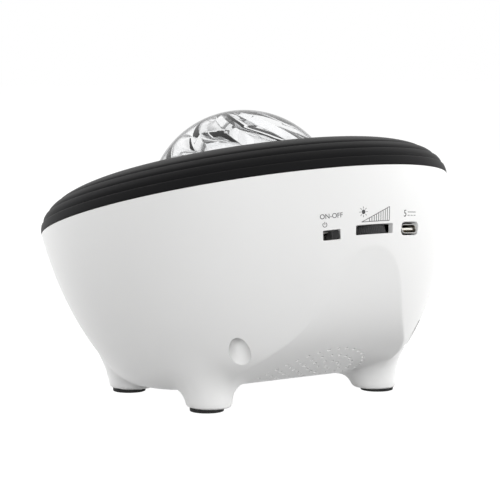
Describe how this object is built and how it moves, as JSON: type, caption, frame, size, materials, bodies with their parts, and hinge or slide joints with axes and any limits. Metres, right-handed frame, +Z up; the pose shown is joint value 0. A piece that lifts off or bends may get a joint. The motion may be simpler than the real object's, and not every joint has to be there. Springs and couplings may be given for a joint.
{
  "type": "galaxy projector",
  "caption": "Star and nebula projector lamp: tilted white bowl on feet, ribbed black top cover, clear swirl dome, rear dial, switch and USB-C inlet, geared optics inside.",
  "frame": {"origin": "centre of the footprint on the table, under the middle of the bounding box", "axes": "+Z up, +Y towards the back with the controls, +X to the right seen from the front"},
  "size_m": [0.15, 0.1472, 0.1032],
  "materials": {
    "white_shell": "gloss moulded ABS",
    "black_cover": "satin moulded ABS",
    "clear_dome": "clear polished acrylic",
    "rubber_pad": "soft rubber",
    "steel": "nickel-plated",
    "ivory_plastic": "natural acetal",
    "brass": "turned brass",
    "aluminium": "satin",
    "led_phosphor": "phosphor resin",
    "reflector": "mirror-coated plastic",
    "board": "solder-masked laminate",
    "black_plastic": "moulded",
    "paper_cone": "pressed paper"
  },
  "bodies": {
    "case": {"bowl_shell": "white_shell", "foot_pad_1": "rubber_pad", "foot_pad_2": "rubber_pad", "foot_pad_3": "rubber_pad", "foot_pad_4": "rubber_pad", "top_cover": "black_cover", "dome_lens": "clear_dome", "case_screw_1": "steel", "case_screw_2": "steel", "case_screw_3": "steel", "case_screw_4": "steel", "lamp_frame": "black_plastic", "frame_screw_1": "steel", "frame_screw_2": "steel", "frame_screw_3": "steel", "frame_screw_4": "steel", "nebula_retainer": "steel", "star_retainer": "steel", "gear_motor": "steel", "motor_screw_1": "steel", "motor_screw_2": "steel", "led_board": "aluminium", "led_chips": "led_phosphor", "led_reflector": "reflector", "heat_sink": "aluminium", "laser_module": "brass", "control_board": "board", "controller_chip": "black_plastic", "buffer_capacitor": "black_plastic", "board_screw_1": "steel", "board_screw_2": "steel", "dial_mount": "black_plastic", "switch_body": "steel", "usb_shell": "steel", "usb_tongue": "ivory_plastic", "speaker_basket": "aluminium", "speaker_cone": "paper_cone", "speaker_magnet": "steel", "speaker_screw_1": "steel", "speaker_screw_2": "steel", "speaker_screw_3": "steel"},
    "nebula_rotor": {"nebula_gear": "ivory_plastic", "ripple_disc": "clear_dome"},
    "star_rotor": {"star_gear": "ivory_plastic", "star_grating": "clear_dome"},
    "motor_rotor": {"drive_pinion": "brass", "motor_shaft": "steel"},
    "dial": {"dial_wheel": "black_plastic"},
    "power_slider": {"switch_slider": "black_plastic"}
  },
  "joints": [
    {"name": "nebula_spin", "type": "hinge", "parent": "case", "child": "nebula_rotor", "pos_m": [-0.0095, 0.00099, 0.06102], "axis": [0, -0.2487, 0.9686], "continuous": true},
    {"name": "star_spin", "type": "hinge", "parent": "case", "child": "star_rotor", "pos_m": [0.016, 0.00099, 0.06102], "axis": [0, -0.2487, 0.9686], "continuous": true},
    {"name": "pinion_spin", "type": "hinge", "parent": "case", "child": "motor_rotor", "pos_m": [0.00175, 0.01986, 0.06587], "axis": [0, -0.2487, 0.9686], "continuous": true},
    {"name": "dial_spin", "type": "hinge", "parent": "case", "child": "dial", "pos_m": [-0.00062, 0.06475, 0.06237], "axis": [0, -0.2487, 0.9686], "range_deg": [0, 270]},
    {"name": "switch_slide", "type": "slide", "parent": "case", "child": "power_slider", "axis": [0.9715, -0.2294, -0.0589], "range_m": [0, 0.003]}
  ],
  "couplings": [
    {"joint": "star_spin", "follows": "nebula_spin", "ratio": -2.4},
    {"joint": "pinion_spin", "follows": "nebula_spin", "ratio": -4}
  ]
}
